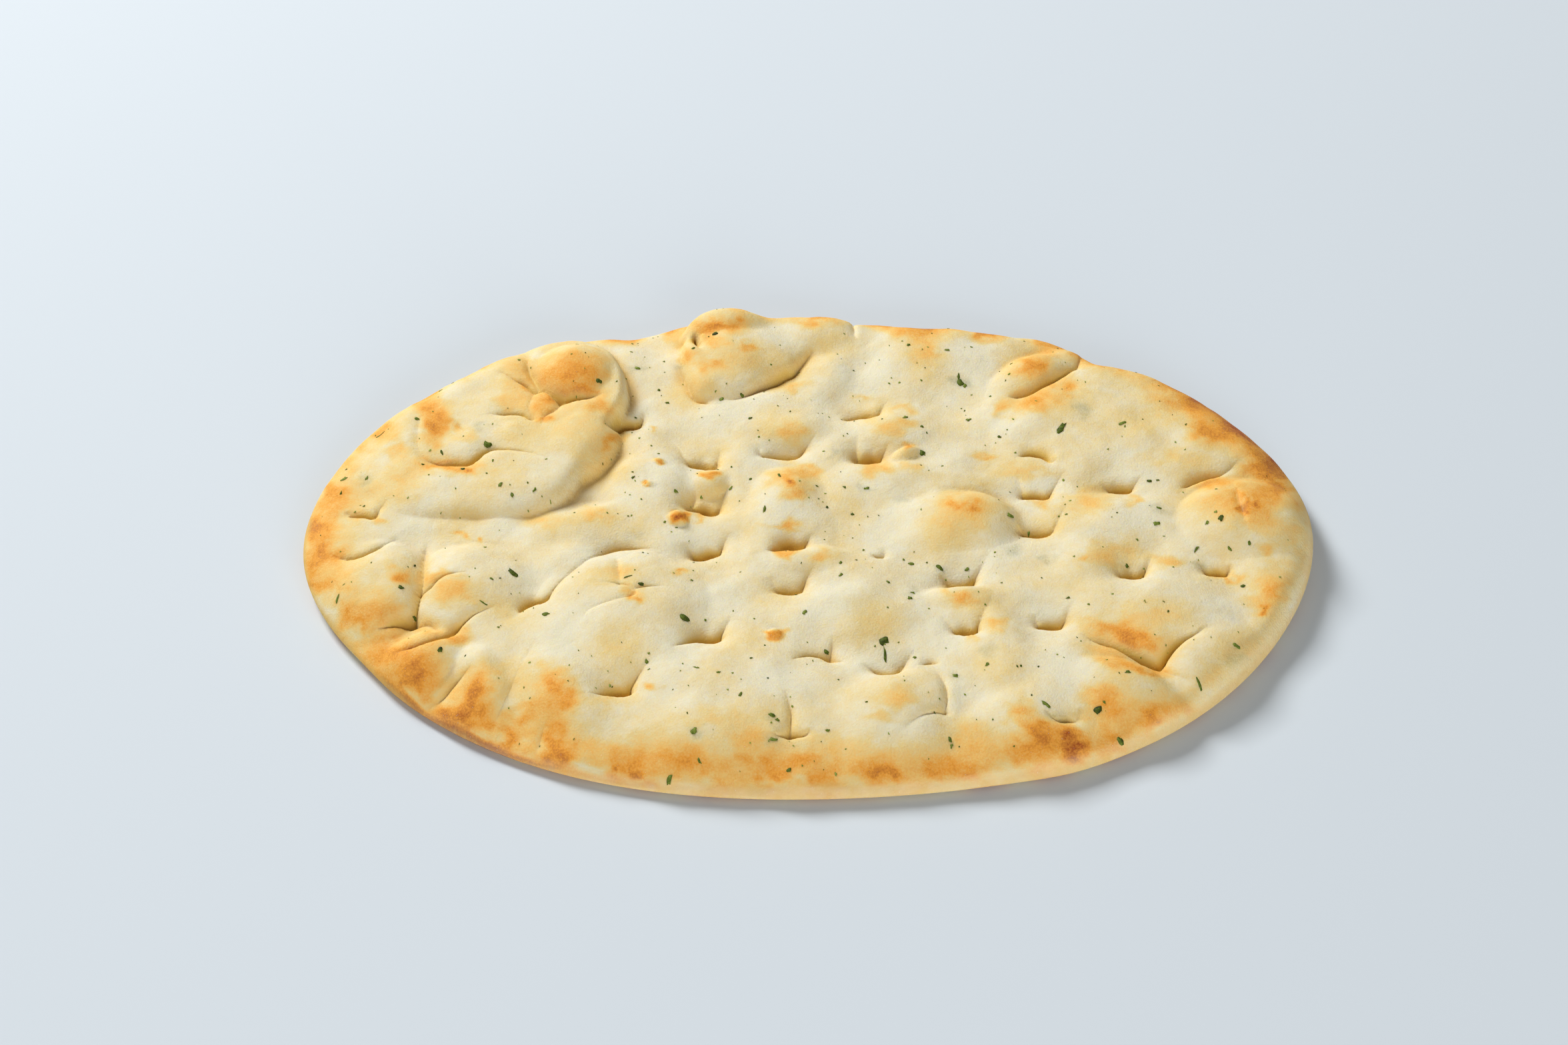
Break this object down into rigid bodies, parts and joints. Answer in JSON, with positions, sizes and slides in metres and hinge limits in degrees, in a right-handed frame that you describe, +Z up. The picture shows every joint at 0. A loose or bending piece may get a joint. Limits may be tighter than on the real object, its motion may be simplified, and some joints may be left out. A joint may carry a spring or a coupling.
{
  "type": "garlic naan",
  "caption": "Oval leavened flatbread with a rolled rim, oven blisters, folds, docking dimples and herb flakes, ready to lie on a plate or board.",
  "frame": {"origin": "on the table, under the middle of the bread's length and width", "axes": "+X along the length, +Y across it from the front rim to the back rim, +Z up out of the blistered crust"},
  "size_m": [0.241, 0.1664, 0.0204],
  "materials": {
    "crust": "matte"
  },
  "bodies": {
    "root": {"naan": "crust"}
  },
  "joints": []
}
